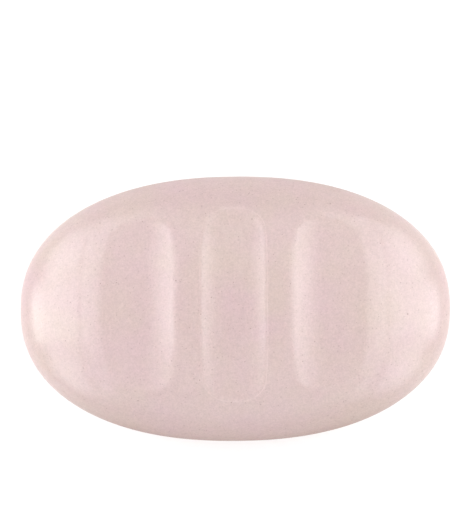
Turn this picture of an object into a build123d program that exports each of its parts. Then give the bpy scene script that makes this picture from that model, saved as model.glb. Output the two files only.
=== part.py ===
from build123d import *
from math import asin, cos, pi, radians, sin, sqrt
import os

os.makedirs("parts", exist_ok=True)

# ---------------------------------------------------------------------------
# Bar of soap, pressed between two die halves.  Millimetres, +X along the
# length, +Z up, the origin at the middle of the flat face it rests on.
# ---------------------------------------------------------------------------

# outline, seen from above: a superellipse, a little fuller than an oval
length = 106.0          # overall, along X
width = 65.4            # overall, along Y
outline_power = 2.245   # 2 would be a plain ellipse
outline_points = 64     # points that carry each outline curve

# heights
equator_z = 17.0        # height of the widest outline above the resting face
dome_height = 17.5      # crown above the widest outline
dome_power = 1.96        # 2 is a quarter ellipse
belly_height = 17.9     # depth the belly would have if it were not flattened
belly_power = 2.2       # the belly is a little fuller than the dome
parting_start = 2.0     # degrees round each profile at which the halves meet
base_edge_r = 9.0       # softened edge of the resting face

# finger groove in the middle: a strip of floor with curved walls all round
mid_depth = 1.47        # below the crown
mid_floor = 0.7         # half width of the strip
mid_wall_r = 22.6       # radius of the walls
mid_run_r = 56.5        # radius of the floor along the groove
mid_run = 18.65         # half length of the strip, along the floor
mid_rim_r = 5.5         # softened rim

# finger grooves either side, the same form with a floor that falls outwards
side_offset = 26.4      # middle of the floor from the middle of the bar
side_depth = 0.90       # below the crown at that place
side_lean = 6.3         # degrees the floor falls outwards
side_floor = 4.4
side_wall_r = 24.0
side_run_r = 62.0
side_run = 17.0
side_rim_r = 6.0

# how far the solid cut away for a groove runs past its strip, and above its floor
cutter_reach = 11.0
cutter_top = 9.0

# outlines that the two halves are lofted through
dome_steps = 12
belly_steps = 10
top_scale = 0.10        # the last outline, well inside the middle groove


def outline(scale):
    """Points round one outline, scaled from the widest, starting at +Y."""
    e = 2 / outline_power
    points = []
    for i in range(outline_points):
        t = 2 * pi * i / outline_points
        s, c = sin(t), cos(t)
        points.append((
            -length / 2 * scale * abs(s) ** e * (1 if s > 0 else -1),
            width / 2 * scale * abs(c) ** e * (1 if c > 0 else -1),
        ))
    return points


def profile(height, power, last_scale, steps):
    """(scale, height) pairs from the widest outline to a chosen small one."""
    e = 2 / power
    start = radians(parting_start)
    wide, low = cos(start) ** e, sin(start) ** e
    end = pi / 2 - asin((last_scale * wide) ** (1 / e))
    rows = []
    for i in range(steps + 1):
        t = start + (end - start) * i / steps
        rows.append((cos(t) ** e / wide,
                     height * (sin(t) ** e - low) / (1 - low)))
    return rows


def base_scale():
    """Scale of the outline at the height where the belly is flattened."""
    e = 2 / belly_power
    low = sin(radians(parting_start)) ** e
    level = low + (1 - low) * equator_z / belly_height
    t = asin(level ** (1 / e))
    return cos(t) ** e / cos(radians(parting_start)) ** e


def crown_at(x):
    """Height of the uncut dome above the widest outline, on the X axis."""
    rows = profile(dome_height, dome_power, 0.001, 4000)
    for (s0, z0), (s1, z1) in zip(rows, rows[1:]):
        if s1 <= x / (length / 2) <= s0:
            k = (s0 - x / (length / 2)) / (s0 - s1)
            return z0 + (z1 - z0) * k
    return dome_height


def groove_cutter(floor, wall_r, run_r, run):
    """The solid cut away for one finger groove, its floor at the origin, along Y.

    The floor strip bends down along an arc of run_r; the wall rises from all
    round the strip on an arc of wall_r.
    """
    turn = run / run_r
    rise = wall_r - sqrt(wall_r ** 2 - cutter_reach ** 2)
    half = cutter_reach / 2
    half_rise = wall_r - sqrt(wall_r ** 2 - half ** 2)
    with BuildPart() as cutter:
        for side in (1, -1):
            up = Vector(0, side * sin(turn), cos(turn))
            out = Vector(0, side * cos(turn), -sin(turn))
            tip = Vector(0, side * run_r * sin(turn), run_r * (cos(turn) - 1))
            if side == 1:
                # the long part: the whole cross section swung along the run
                with BuildSketch(Plane(tip, x_dir=(1, 0, 0), z_dir=-out)):
                    with BuildLine():
                        Line((-floor, 0), (floor, 0))
                        ThreePointArc((floor, 0), (floor + half, half_rise),
                                      (floor + cutter_reach, rise))
                        Polyline((floor + cutter_reach, rise),
                                 (floor + cutter_reach, cutter_top),
                                 (-floor - cutter_reach, cutter_top),
                                 (-floor - cutter_reach, rise))
                        ThreePointArc((-floor - cutter_reach, rise),
                                      (-floor - half, half_rise), (-floor, 0))
                    make_face()
                revolve(axis=Axis((0, 0, -run_r), (1, 0, 0)),
                        revolution_arc=2 * turn * 180 / pi)
            # the end: the wall carried straight across, then round the corners
            for place, kind in ((floor, "strip"), (floor, "corner"),
                                (-floor, "corner")):
                start = tip + Vector(place, 0, 0)
                with BuildSketch(Plane(start, x_dir=out, z_dir=out.cross(up))):
                    with BuildLine():
                        ThreePointArc((0, 0), (half, half_rise),
                                      (cutter_reach, rise))
                        Polyline((cutter_reach, rise),
                                 (cutter_reach, cutter_top),
                                 (0, cutter_top), (0, 0))
                    make_face()
                if kind == "strip":
                    across = out.cross(up)
                    extrude(amount=-2 * floor if across.X > 0 else 2 * floor)
                else:
                    # swing from straight out towards the side of the groove
                    spin = -side if place > 0 else side
                    revolve(axis=Axis(start, up * spin), revolution_arc=90)
    return cutter.part


# the two solids cut away for the grooves, each made at its own floor
mid_cutter = groove_cutter(mid_floor, mid_wall_r, mid_run_r, mid_run)
side_cutter = groove_cutter(side_floor, side_wall_r, side_run_r, side_run)
mid_z = equator_z + dome_height - mid_depth
side_z = equator_z + crown_at(side_offset) - side_depth

with BuildPart() as soap_bar:
    # dome
    for scale, rise in profile(dome_height, dome_power, top_scale, dome_steps):
        with BuildSketch(Plane.XY.offset(equator_z + rise)):
            with BuildLine():
                Spline(*outline(scale), periodic=True)
            make_face()
    loft()

    # belly, flattened where the bar rests
    for scale, drop in profile(belly_height, belly_power, base_scale(),
                               belly_steps):
        with BuildSketch(Plane.XY.offset(equator_z - drop)):
            with BuildLine():
                Spline(*outline(scale), periodic=True)
            make_face()
    loft()
    base = soap_bar.faces().sort_by(Axis.Z)[0]
    fillet(base.edges(), radius=base_edge_r)

    # the three finger grooves
    with Locations((0, 0, mid_z)):
        add(mid_cutter, mode=Mode.SUBTRACT)
    with Locations(Location((side_offset, 0, side_z), (0, side_lean, 0)),
                   Location((-side_offset, 0, side_z), (0, -side_lean, 0))):
        add(side_cutter, mode=Mode.SUBTRACT)

    # softened rims, where the dome meets each groove
    for low, high, rim_r in ((-10, 10, mid_rim_r), (10, 60, side_rim_r),
                             (-60, -10, side_rim_r)):
        dome = soap_bar.faces().filter_by(
            lambda f: f.area > 2000 and f.center().Z > equator_z)[0]
        rims = dome.edges().filter_by(
            lambda e: low < (e @ 0.5).X < high
            and (e @ 0.5).Z > equator_z + 3
            and abs((e @ 0).Z - (e @ 1).Z) < 8)
        fillet(rims, radius=rim_r)

soap_bar.part.label = "soap_bar"
export_step(soap_bar.part, "parts/soap_bar.step")
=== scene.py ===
import math

import bpy
import numpy as np
from mathutils import Matrix, Vector


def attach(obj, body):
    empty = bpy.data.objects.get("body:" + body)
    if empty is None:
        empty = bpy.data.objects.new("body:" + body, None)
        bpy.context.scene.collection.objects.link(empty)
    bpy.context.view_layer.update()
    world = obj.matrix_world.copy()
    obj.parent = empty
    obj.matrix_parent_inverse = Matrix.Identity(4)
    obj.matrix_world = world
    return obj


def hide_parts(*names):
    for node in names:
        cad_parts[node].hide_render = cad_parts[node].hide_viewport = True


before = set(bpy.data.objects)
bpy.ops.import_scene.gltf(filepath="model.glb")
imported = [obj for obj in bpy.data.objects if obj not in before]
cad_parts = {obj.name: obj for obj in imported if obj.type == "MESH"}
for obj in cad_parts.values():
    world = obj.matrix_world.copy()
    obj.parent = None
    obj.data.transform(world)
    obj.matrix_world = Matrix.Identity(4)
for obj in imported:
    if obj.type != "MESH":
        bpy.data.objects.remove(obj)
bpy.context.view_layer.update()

# ---------------------------------------------------------------------------
# The bar's own dimensions in millimetres: the CAD model's numbers, with the
# middle groove 0.15 mm deeper between the same rims, and crisper there.
# ---------------------------------------------------------------------------
A, B, N = 53.0, 32.7, 2.245            # half length, half width, outline power
EQUATOR = 17.0
DOME_H, DOME_P = 17.5, 1.96
BELLY_H, BELLY_P = 17.9, 2.2
START = math.radians(2.0)              # where the two halves meet
BASE_R = 9.0
MID = dict(x=0.0, depth=1.62, lean=0.0, floor=0.7, wall=20.5, run_r=56.5,
           run=18.65, rim=3.5)
SIDE = dict(x=26.4, depth=0.90, lean=math.radians(6.3), floor=4.4, wall=24.0,
            run_r=62.0, run=17.0, rim=6.0)
SOFT_RIM = 20.0                        # the side grooves' outer rims are worn softer
REACH = 11.0


def half_height(rho, height, power):
    """Height of a half above or below the widest outline, at scale rho."""
    e = 2 / power
    wide, low = math.cos(START) ** e, math.sin(START) ** e
    t = np.arccos(np.clip(np.clip(rho * wide, 0, 1) ** (1 / e), 0, 1))
    return height * (np.sin(t) ** e - low) / (1 - low)


def dome_z(x, y):
    rho = (np.abs(x / A) ** N + np.abs(y / B) ** N) ** (1 / N)
    return half_height(rho, DOME_H, DOME_P)


def groove_z(x, y, z0, g, side):
    """Height of a groove's own surface over (x, y), starting from z0."""
    x = x * side
    zf = float(dome_z(np.array([g["x"]]), np.array([0.0]))[0]) - g["depth"]
    c, s = math.cos(g["lean"]), math.sin(g["lean"])
    turn = g["run"] / g["run_r"]
    z = z0.copy()
    for _ in range(6):
        along = (x - g["x"]) * c - (z - zf) * s
        up = (x - g["x"]) * s + (z - zf) * c
        angle = np.arctan2(np.abs(y), up + g["run_r"])
        reach = np.hypot(y, up + g["run_r"])
        past = angle > turn
        t = np.where(past, reach * np.sin(angle - turn), 0.0)
        h = np.where(past, reach * np.cos(angle - turn), reach) - g["run_r"]
        d = np.hypot(np.maximum(np.abs(along) - g["floor"], 0), t)
        d = np.minimum(d, REACH)
        w = g["wall"] - np.sqrt(g["wall"] ** 2 - d * d)
        z = z - (h - w) / (c * np.cos(np.minimum(angle, turn)))
    return z


def grooved(x, y):
    """Height over (x, y) with the grooves pressed in and their rims softened,
    and how far each place is above or below the middle and side grooves."""
    def levels(px, py):
        top = dome_z(px, py)
        return top, [groove_z(px, py, top, g, s)
                     for g, s in ((MID, 1), (SIDE, 1), (SIDE, -1))]

    top, cuts = levels(x, y)
    step = 0.05
    top_x, cuts_x = levels(x + step, y)
    top_y, cuts_y = levels(x, y + step)
    z = top.copy()
    for i, (cut, g) in enumerate(zip(cuts, (MID, SIDE, SIDE))):
        turn2 = (((top_x - top) - (cuts_x[i] - cut)) ** 2
                 + ((top_y - top) - (cuts_y[i] - cut)) ** 2) / step ** 2
        outer = np.clip((np.abs(x) - g["x"] - 2.0) / 4.0, 0, 1) if g is SIDE else 0.0
        rim = g["rim"] + (SOFT_RIM - g["rim"]) * outer
        k = np.maximum(rim * np.minimum(turn2, 0.25) / 2, 1e-4)
        near = np.maximum(k - np.abs(z - cut), 0) / k
        z = np.minimum(z, cut) - near * near * k / 4
    gaps = [top - cut for cut in cuts]
    return z, gaps[0], np.maximum(gaps[1], gaps[2])


def belly(x, y):
    """Depth below the widest outline, flattened where the bar rests."""
    rho = (np.abs(x / A) ** N + np.abs(y / B) ** N) ** (1 / N)
    deep = half_height(rho, BELLY_H, BELLY_P)
    near = 0.004
    step = 0.05
    rho_x = (np.abs((np.abs(x) + step) / A) ** N + np.abs(y / B) ** N) ** (1 / N)
    rho_y = (np.abs(x / A) ** N + np.abs((np.abs(y) + step) / B) ** N) ** (1 / N)
    slope2 = ((half_height(rho_x, BELLY_H, BELLY_P) - deep) ** 2
              + (half_height(rho_y, BELLY_H, BELLY_P) - deep) ** 2) / step ** 2
    k = np.maximum(BASE_R * np.minimum(slope2, 0.2) / 2, near)
    close = np.maximum(k - np.abs(deep - EQUATOR), 0) / k
    return np.minimum(deep, EQUATOR) - close * close * k / 4


def ring_scale(height):
    """Outline scales for rings an even distance apart over a dome."""
    e = 2 / DOME_P
    t = np.linspace(START, math.pi / 2, 4000)
    rho = np.cos(t) ** e / math.cos(START) ** e
    z = height * np.sin(t) ** e
    run = np.concatenate([[0], np.cumsum(np.hypot(np.diff(rho) * 42.0,
                                                  np.diff(z)))])
    run = 1 - run / run[-1]
    return run[::-1], rho[::-1]


def half_points(nu, nv, height):
    """Places (x, y) of a grid of nu by nv quads over the whole outline."""
    run, rho = ring_scale(height)
    u, v = np.meshgrid(np.linspace(-1, 1, nu + 1), np.linspace(-1, 1, nv + 1))
    # even spacing along the sides of the outline
    ue = np.sin(u * math.pi / 4) / math.sin(math.pi / 4)
    ve = np.sin(v * math.pi / 4) / math.sin(math.pi / 4)
    u, v = 0.55 * ue + 0.45 * u, 0.55 * ve + 0.45 * v
    s = np.maximum(np.abs(u), np.abs(v))
    r = (np.abs(u) ** N + np.abs(v) ** N) ** (1 / N)
    # each square ring of the grid is laid on the outline at its own scale
    mixed = s
    scale = np.interp(mixed, run, rho)
    safe = np.where(r < 1e-9, 1, r)
    x, y = A * u / safe * scale, B * v / safe * scale
    x[r < 1e-9] = 0
    y[r < 1e-9] = 0
    return x, y


NU, NV = 320, 200
tx, ty = half_points(NU, NV, DOME_H)
tz, gap_mid, gap_side = grooved(tx, ty)
bx, by = half_points(NU // 2, NV // 2, BELLY_H)
bz = -belly(bx, by)


def border(nu, nv):
    """Grid places round the rim, anticlockwise from the first corner."""
    out = [(0, i) for i in range(nu)] + [(j, nu) for j in range(nv)]
    out += [(nv, i) for i in range(nu, 0, -1)] + [(j, 0) for j in range(nv, 0, -1)]
    return out


top_id = np.arange((NU + 1) * (NV + 1)).reshape(NV + 1, NU + 1)
points = [np.stack([tx, ty, tz + EQUATOR], -1).reshape(-1, 3)]
rim = border(NU, NV)
bottom_rim = border(NU // 2, NV // 2)
bottom_id = -np.ones(bx.shape, int)
count = top_id.size
for k, (j, i) in enumerate(bottom_rim):
    bottom_id[j, i] = top_id[rim[2 * k]]
extra = []
for j in range(bx.shape[0]):
    for i in range(bx.shape[1]):
        if bottom_id[j, i] < 0:
            bottom_id[j, i] = count + len(extra)
            extra.append((bx[j, i], by[j, i], bz[j, i] + EQUATOR))
points.append(np.array(extra))
points = np.concatenate(points)
# the rim itself lies at the height where the halves meet
for j, i in rim:
    points[top_id[j, i], 2] = EQUATOR

faces = []
for j in range(NV):
    row = top_id[j], top_id[j + 1]
    for i in range(NU):
        faces.append((row[0][i], row[0][i + 1], row[1][i + 1], row[1][i]))
between = {}
for k in range(len(bottom_rim)):
    a = top_id[rim[2 * k]]
    m = top_id[rim[2 * k + 1]]
    b = top_id[rim[(2 * k + 2) % len(rim)]]
    between[(a, b)] = m
    between[(b, a)] = m
for j in range(NV // 2):
    for i in range(NU // 2):
        loop = [bottom_id[j, i], bottom_id[j + 1, i], bottom_id[j + 1, i + 1],
                bottom_id[j, i + 1]]
        face = []
        for a, b in zip(loop, loop[1:] + loop[:1]):
            face.append(a)
            if (a, b) in between:
                face.append(between[(a, b)])
        faces.append(tuple(face))

# gentle unevenness of a pressed and handled surface, in millimetres
rng = np.random.default_rng(7)
p = points
swell = np.zeros(len(p))
for wave, height, many in ((26.0, 0.020, 14), (11.0, 0.010, 18), (5.0, 0.0035, 22)):
    for _ in range(many):
        d = rng.normal(size=3)
        d *= 2 * math.pi / wave / np.linalg.norm(d) * rng.uniform(0.8, 1.25)
        swell += height / math.sqrt(many) * np.sin(p @ d + rng.uniform(0, 6.283))
edge_free = np.clip((p[:, 2] - 0.15) / 2.0, 0, 1)
rho_all = (np.abs(p[:, 0] / A) ** N + np.abs(p[:, 1] / B) ** N) ** (1 / N)
edge_free *= np.clip((1 - rho_all) / 0.02, 0, 1)
points = points.copy()
top_face = p[:, 2] > EQUATOR
points[:, 2] += swell * edge_free * np.where(top_face, 1.0, -1.0)

mesh = bpy.data.meshes.new("soap_bar_surface")
mesh.from_pydata([tuple(q) for q in (points / 1000.0)], [], [tuple(int(i) for i in f) for f in faces])
mesh.validate()
mesh.update()
mesh.polygons.foreach_set("use_smooth", [True] * len(mesh.polygons))
for name, values in (("rim_mid", gap_mid), ("rim_side", gap_side)):
    attribute = mesh.attributes.new(name, "FLOAT", "POINT")
    full = np.full(len(points), -5.0, np.float32)
    full[: top_id.size] = np.clip(values, -5, 5).reshape(-1)
    attribute.data.foreach_set("value", full)
soap = bpy.data.objects.new("soap_bar_body", mesh)
bpy.context.scene.collection.objects.link(soap)

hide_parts("soap_bar")


# ---------------------------------------------------------------------------
# Material
# ---------------------------------------------------------------------------
def soap_material():
    mat = bpy.data.materials.new("soap")
    mat.use_nodes = True
    nodes, links = mat.node_tree.nodes, mat.node_tree.links
    nodes.clear()
    out = nodes.new("ShaderNodeOutputMaterial")
    bsdf = nodes.new("ShaderNodeBsdfPrincipled")
    links.new(bsdf.outputs["BSDF"], out.inputs["Surface"])

    def node(kind, **settings):
        n = nodes.new(kind)
        for key, value in settings.items():
            if key in n.inputs:
                n.inputs[key].default_value = value
            else:
                setattr(n, key, value)
        return n

    def math_node(operation, a, b=None, clamp=False):
        n = nodes.new("ShaderNodeMath")
        n.operation, n.use_clamp = operation, clamp
        for slot_, value in zip(n.inputs, (a, b)):
            if value is None:
                continue
            if isinstance(value, (int, float)):
                slot_.default_value = value
            else:
                links.new(value, slot_)
        return n.outputs[0]

    def ramp(source, low, high, out_low=0.0, out_high=1.0):
        n = nodes.new("ShaderNodeMapRange")
        n.clamp = True
        links.new(source, n.inputs["Value"])
        n.inputs["From Min"].default_value = low
        n.inputs["From Max"].default_value = high
        n.inputs["To Min"].default_value = out_low
        n.inputs["To Max"].default_value = out_high
        return n.outputs["Result"]

    def mix(factor, a, b):
        n = nodes.new("ShaderNodeMix")
        n.data_type = "RGBA"
        if isinstance(factor, (int, float)):
            n.inputs["Factor"].default_value = factor
        else:
            links.new(factor, n.inputs["Factor"])
        for name, value in (("A", a), ("B", b)):
            socket = [s for s in n.inputs if s.name == name and s.type == "RGBA"][0]
            if isinstance(value, tuple):
                socket.default_value = (*value, 1.0)
            else:
                links.new(value, socket)
        return [s for s in n.outputs if s.type == "RGBA"][0]

    where = nodes.new("ShaderNodeTexCoord").outputs["Object"]

    def noise(scale, detail=2.0, roughness=0.5, seed=0.0):
        n = nodes.new("ShaderNodeTexNoise")
        n.noise_dimensions = "4D"
        n.inputs["Scale"].default_value = scale
        n.inputs["Detail"].default_value = detail
        n.inputs["Roughness"].default_value = roughness
        n.inputs["W"].default_value = seed
        links.new(where, n.inputs["Vector"])
        return n.outputs["Fac"]

    # colour: pale pink, a little creamier in soft patches
    patches = ramp(noise(85.0, 3.0, 0.55, 1.3), 0.34, 0.66)
    colour = mix(patches, PINK, CREAM)
    # fine grain of the pressed soap
    grain = math_node("ADD", math_node("MULTIPLY", noise(2300.0, 2.0, 0.7, 4.1), 0.7),
                      math_node("MULTIPLY", noise(850.0, 2.0, 0.6, 6.4), 0.3))
    fine = mix(ramp(grain, 0.3, 0.7), GRAIN_DARK, GRAIN_LIGHT)
    tint = nodes.new("ShaderNodeMix")
    tint.data_type, tint.blend_type = "RGBA", "MULTIPLY"
    tint.inputs["Factor"].default_value = 1.0
    a, b = [s for s in tint.inputs if s.type == "RGBA"]
    links.new(colour, a)
    links.new(fine, b)
    colour = [s for s in tint.outputs if s.type == "RGBA"][0]

    # painted shade: the base colour darkens towards the edge where the halves meet, slightly all
    # round, more on the long flanks and most on the front flank; the edge is also duller
    axes = nodes.new("ShaderNodeSeparateXYZ")
    links.new(where, axes.inputs[0])
    near_edge = ramp(math_node("ABSOLUTE", math_node("SUBTRACT", axes.outputs[2],
                                                     EQUATOR / 1000)),
                     0.0, EDGE_REACH, 1.0, 0.0)
    edge = math_node("MULTIPLY", near_edge, near_edge)
    flank = ramp(math_node("ABSOLUTE", axes.outputs[1]), *FLANK)
    front = ramp(axes.outputs[1], -FLANK[1], -FLANK[0], 1.0, 0.0)
    # painted shade multiplied into the base colour near the parting edge
    for amount, shade in ((edge, EDGE_PAINTED_SHADE),
                          (math_node("MULTIPLY", flank, edge), FLANK_PAINTED_SHADE),
                          (math_node("MULTIPLY", front, edge), FRONT_PAINTED_SHADE)):
        shaded_colour = nodes.new("ShaderNodeMix")
        shaded_colour.data_type, shaded_colour.blend_type = "RGBA", "MULTIPLY"
        links.new(amount, shaded_colour.inputs["Factor"])
        a, b = [s for s in shaded_colour.inputs if s.type == "RGBA"]
        links.new(colour, a)
        b.default_value = (*shade, 1.0)
        colour = [s for s in shaded_colour.outputs if s.type == "RGBA"][0]

    # painted highlight: fine pale lines along the groove rims, where the crisp edges catch the light,
    # broken up and brighter towards +X
    def rim_highlight(attribute, width, strength):
        n = nodes.new("ShaderNodeAttribute")
        n.attribute_type, n.attribute_name = "GEOMETRY", attribute
        away = math_node("ABSOLUTE", math_node("ADD", n.outputs["Fac"], 0.03))
        near = ramp(away, 0.0, width, 1.0, 0.0)
        broken = ramp(noise(260.0, 2.0, 0.6, 7.7), 0.35, 0.60, 0.25, 1.0)
        # the painted highlight is stronger towards +X
        lit_towards_plus_x = ramp(axes.outputs[0], -0.008, 0.007, 0.35, 1.0)
        return math_node("MULTIPLY", math_node("MULTIPLY", near, broken),
                         math_node("MULTIPLY", lit_towards_plus_x, strength))

    # painted highlight mixed into the base colour along the middle and side groove rims
    colour = mix(rim_highlight("rim_mid", 0.060, RIM_MID_HIGHLIGHT), colour, RIM_HIGHLIGHT_COLOUR)
    colour = mix(rim_highlight("rim_side", 0.060, RIM_SIDE_HIGHLIGHT), colour, RIM_HIGHLIGHT_COLOUR)

    # small dark specks pressed into the surface
    for scale, size, keep, dark, seed in SPECKS:
        cells = nodes.new("ShaderNodeTexVoronoi")
        cells.voronoi_dimensions = "3D"
        cells.feature = "F1"
        cells.inputs["Scale"].default_value = scale
        shift = nodes.new("ShaderNodeVectorMath")
        shift.operation = "ADD"
        shift.inputs[1].default_value = (seed, seed * 0.37, seed * 1.9)
        links.new(where, shift.inputs[0])
        links.new(shift.outputs[0], cells.inputs["Vector"])
        dot = ramp(cells.outputs["Distance"], size * 0.45, size, 1.0, 0.0)
        pick = nodes.new("ShaderNodeSeparateColor")
        links.new(cells.outputs["Color"], pick.inputs[0])
        chosen = math_node("LESS_THAN", pick.outputs[0], keep)
        strength = ramp(pick.outputs[1], 0.0, 1.0, 0.35, 1.0)
        amount = math_node("MULTIPLY", math_node("MULTIPLY", dot, chosen),
                           math_node("MULTIPLY", strength, dark))
        colour = mix(amount, colour, SPECK)

    links.new(colour, bsdf.inputs["Base Color"])

    # satin skin, a touch uneven
    rough = ramp(noise(320.0, 4.0, 0.6, 9.0), 0.3, 0.7, ROUGH - 0.02, ROUGH + 0.02)
    rough = math_node("ADD", rough, math_node("MULTIPLY", edge, EDGE_ROUGH - ROUGH),
                      clamp=True)
    links.new(rough, bsdf.inputs["Roughness"])
    bsdf.inputs["IOR"].default_value = 1.46
    # the long flanks are rubbed matt towards the parting edge
    matt = math_node("MULTIPLY", flank, math_node("POWER", near_edge, MATT_POWER))
    gloss = math_node("SUBTRACT", GLOSS, math_node("MULTIPLY", matt, GLOSS * MATT),
                      clamp=True)
    links.new(gloss, bsdf.inputs["Specular IOR Level"])
    bsdf.inputs["Subsurface Weight"].default_value = SSS
    bsdf.inputs["Subsurface Radius"].default_value = (1.0, 0.62, 0.55)
    bsdf.inputs["Subsurface Scale"].default_value = 0.0009

    # bump: fine grain over faint long ripples
    height = math_node("ADD",
                       math_node("MULTIPLY", noise(1300.0, 3.0, 0.6, 2.2), 0.000012),
                       math_node("MULTIPLY", noise(330.0, 3.0, 0.55, 5.5), 0.000022))
    bump = nodes.new("ShaderNodeBump")
    bump.inputs["Strength"].default_value = 1.0
    bump.inputs["Distance"].default_value = 1.0
    links.new(height, bump.inputs["Height"])
    links.new(bump.outputs["Normal"], bsdf.inputs["Normal"])
    return mat


PINK = (0.552, 0.413, 0.419)
CREAM = (0.546, 0.433, 0.399)
# colour of the painted highlight on the groove rims
RIM_HIGHLIGHT_COLOUR = (0.76, 0.62, 0.60)
SPECK = (0.14, 0.055, 0.04)
GRAIN_DARK = (0.835, 0.825, 0.825)
GRAIN_LIGHT = (1.08, 1.08, 1.08)
SPECKS = ((900.0, 0.18, 0.90, 0.34, 0.31), (520.0, 0.090, 0.85, 0.65, 0.11),
          (210.0, 0.050, 0.45, 0.80, 0.53))
ROUGH, GLOSS = 0.30, 0.9
SSS = 0.15
EDGE_REACH, EDGE_ROUGH = 0.0095, 0.34
# painted shade near the parting edge, on the long flanks and on the front flank
EDGE_PAINTED_SHADE = (0.98, 0.96, 0.95)
FLANK_PAINTED_SHADE = (0.78, 0.75, 0.73)
FRONT_PAINTED_SHADE = (0.88, 0.84, 0.81)
FLANK = (0.019, 0.029)                 # where along Y the flanks turn matt and take the painted shade
MATT, MATT_POWER = 1.0, 0.5
# strength of the painted highlights on the middle and side groove rims
RIM_MID_HIGHLIGHT, RIM_SIDE_HIGHLIGHT = 0.38, 0.08
soap.data.materials.append(soap_material())
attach(soap, "root")

# ---------------------------------------------------------------------------
# Studio: a white floor that curves up into a round backdrop and glows, with a painted pool of light
# where the bar lies; soft side lights
# ---------------------------------------------------------------------------
# painted light: the floor and backdrop glow though they are no lamps
FLOOR_ALBEDO, FLOOR_GLOW = 0.80, 0.17
WALL_ALBEDO, WALL_GLOW = 0.34, 0.42
# the painted pool of light, the whitest and most glowing patch: half sizes and place along Y in
# metres, where it begins to grey and where it is done, in half sizes
LIGHT_POOL = (0.062, 0.065, 0.013, 1.12, 2.6)


def studio_floor():
    rings = []
    for r in (0.05, 0.12, 0.3, 0.6, 0.9, 1.2):
        rings.append((r, 0.0))
    radius, turn = 1.2, 0.6
    for k in range(1, 13):
        a = math.pi / 2 * k / 12
        rings.append((radius + turn * math.sin(a), turn * (1 - math.cos(a))))
    for z in (0.8, 1.1, 1.4, 1.7):
        rings.append((radius + turn, z))
    seg = 96
    verts, polys = [(0.0, 0.0, 0.0)], []
    for r, z in rings:
        for k in range(seg):
            t = 2 * math.pi * k / seg
            verts.append((r * math.cos(t), r * math.sin(t), z))
    for k in range(seg):
        polys.append((0, 1 + k, 1 + (k + 1) % seg))
    for j in range(len(rings) - 1):
        a, b = 1 + j * seg, 1 + (j + 1) * seg
        for k in range(seg):
            m = (k + 1) % seg
            polys.append((a + k, b + k, b + m, a + m))
    me = bpy.data.meshes.new("studio_floor")
    me.from_pydata(verts, [], polys)
    me.update()
    me.polygons.foreach_set("use_smooth", [True] * len(me.polygons))
    floor = bpy.data.objects.new("studio_floor", me)
    bpy.context.scene.collection.objects.link(floor)
    mat = bpy.data.materials.new("studio_floor")
    mat.use_nodes = True
    nodes, links = mat.node_tree.nodes, mat.node_tree.links
    bsdf = nodes["Principled BSDF"]
    bsdf.inputs["Roughness"].default_value = 0.9
    bsdf.inputs["Specular IOR Level"].default_value = 0.0
    bsdf.inputs["Emission Strength"].default_value = FLOOR_GLOW
    # painted pool of light: whitest and glowing most where the bar lies, softly greyer and dimmer
    # further out
    where = nodes.new("ShaderNodeTexCoord").outputs["Object"]
    moved = nodes.new("ShaderNodeVectorMath")
    moved.operation = "MULTIPLY_ADD"
    moved.inputs[1].default_value = (1 / LIGHT_POOL[0], 1 / LIGHT_POOL[1], 0.0)
    moved.inputs[2].default_value = (0.0, -LIGHT_POOL[2] / LIGHT_POOL[1], 0.0)
    links.new(where, moved.inputs[0])
    squared = nodes.new("ShaderNodeVectorMath")
    squared.operation = "MULTIPLY"
    links.new(moved.outputs[0], squared.inputs[0])
    links.new(moved.outputs[0], squared.inputs[1])
    spread = nodes.new("ShaderNodeVectorMath")
    spread.operation = "LENGTH"
    links.new(squared.outputs[0], spread.inputs[0])
    root = nodes.new("ShaderNodeMath")
    root.operation = "SQRT"
    links.new(spread.outputs["Value"], root.inputs[0])
    for socket, inner, outer in (("Base Color", FLOOR_ALBEDO, WALL_ALBEDO),
                                 ("Emission Color", 1.0, WALL_GLOW)):
        fade = nodes.new("ShaderNodeMapRange")
        fade.interpolation_type = "SMOOTHSTEP"
        links.new(root.outputs[0], fade.inputs["Value"])
        fade.inputs["From Min"].default_value = LIGHT_POOL[3]
        fade.inputs["From Max"].default_value = LIGHT_POOL[4]
        fade.inputs["To Min"].default_value = inner
        fade.inputs["To Max"].default_value = outer
        links.new(fade.outputs["Result"], bsdf.inputs[socket])
    floor.data.materials.append(mat)


studio_floor()

# Two broad soft sources, left and right, made of panels that all face the bar:
# elevation, then azimuth from +X towards +Y with each panel's power
PANEL_DISTANCE, PANEL_WIDTH, PANEL_HEIGHT = 1.3, 0.60, 0.36
PANELS = (
    (8, ((0, 3.21), (40, 1.88), (140, 1.83), (180, 3.73), (220, 1.97), (270, 0.41),
          (320, 2.08))),
    (23, ((0, 1.89), (30, 2.39), (60, 1.27), (120, 1.34), (150, 2.59), (180, 2.17),
          (210, 1.96), (240, 0.57), (270, 0.53), (300, 0.73), (330, 1.92))),
    (37, ((0, 1.8), (35, 1.33), (90, 0.5), (145, 1.42), (180, 1.95), (215, 0.59),
          (270, 0.43), (325, 0.75))),
    (50, ((0, 1.27), (35, 1.41), (90, 0.42), (145, 1.01), (180, 1.51), (215, 0.65),
          (270, 0.67), (325, 1.04))),
    (63, ((0, 0.45), (90, 0.21), (225, 0.21), (270, 0.18))),
)
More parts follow.
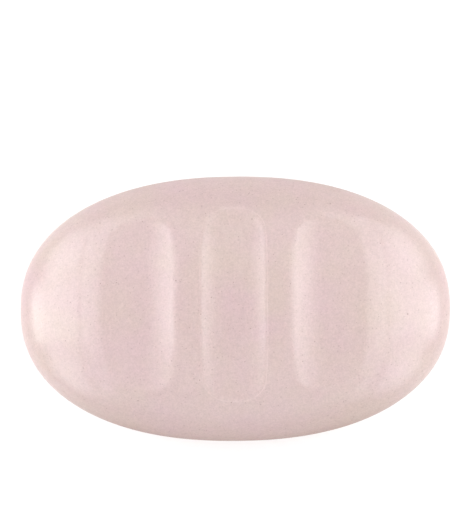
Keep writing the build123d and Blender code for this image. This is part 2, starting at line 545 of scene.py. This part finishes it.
for elevation, azimuth, power in ((row[0], *one) for row in PANELS for one in row[1]):
    name = f"panel_{azimuth:03d}_{elevation:02d}"
    data = bpy.data.lights.new(name, "AREA")
    data.shape, data.energy = "RECTANGLE", power
    data.size, data.size_y = PANEL_WIDTH, PANEL_HEIGHT
    lamp = bpy.data.objects.new(name, data)
    bpy.context.scene.collection.objects.link(lamp)
    a, e = math.radians(azimuth), math.radians(elevation)
    way = Vector((math.cos(a) * math.cos(e), math.sin(a) * math.cos(e), math.sin(e)))
    lamp.location = Vector((0, 0, 0.02)) + way * PANEL_DISTANCE
    lamp.rotation_mode = "QUATERNION"
    lamp.rotation_quaternion = way.to_track_quat("Z", "Y")
    lamp.visible_camera = False

world = bpy.data.worlds.new("studio")
bpy.context.scene.world = world
world.use_nodes = True
world.node_tree.nodes["Background"].inputs["Color"].default_value = (1, 1, 1, 1)
world.node_tree.nodes["Background"].inputs["Strength"].default_value = 0.255

# ---------------------------------------------------------------------------
# Camera: nearly straight above, a touch from the front
# ---------------------------------------------------------------------------
DISTANCE = 0.80
TILT_FRONT, TILT_RIGHT, ROLL = 4.4, 1.1, 0.35
SEEN = 0.1259                                   # height of the view at the bar
AIM = Vector((0.00006, 0.0132, EQUATOR / 1000))  # the middle of the picture

camera_data = bpy.data.cameras.new("camera")
camera = bpy.data.objects.new("camera", camera_data)
bpy.context.scene.collection.objects.link(camera)
back = Vector((math.tan(math.radians(TILT_RIGHT)),
               -math.tan(math.radians(TILT_FRONT)), 1.0)).normalized()
eye = Vector((0, 0, EQUATOR / 1000)) + back * DISTANCE
look = (AIM - eye).normalized()
up = Vector((math.sin(math.radians(ROLL)), math.cos(math.radians(ROLL)), 0.0))
right = look.cross(up).normalized()
up = right.cross(look).normalized()
camera.matrix_world = Matrix((
    (right.x, up.x, -look.x, eye.x),
    (right.y, up.y, -look.y, eye.y),
    (right.z, up.z, -look.z, eye.z),
    (0, 0, 0, 1)))
camera_data.sensor_width = 36.0
camera_data.lens = 36.0 * DISTANCE / SEEN
camera_data.clip_start, camera_data.clip_end = 0.01, 50.0
bpy.context.scene.camera = camera

scene = bpy.context.scene
scene.view_settings.view_transform = "Standard"
scene.view_settings.look = "None"
scene.view_settings.exposure = 0.0
scene.view_settings.gamma = 1.0
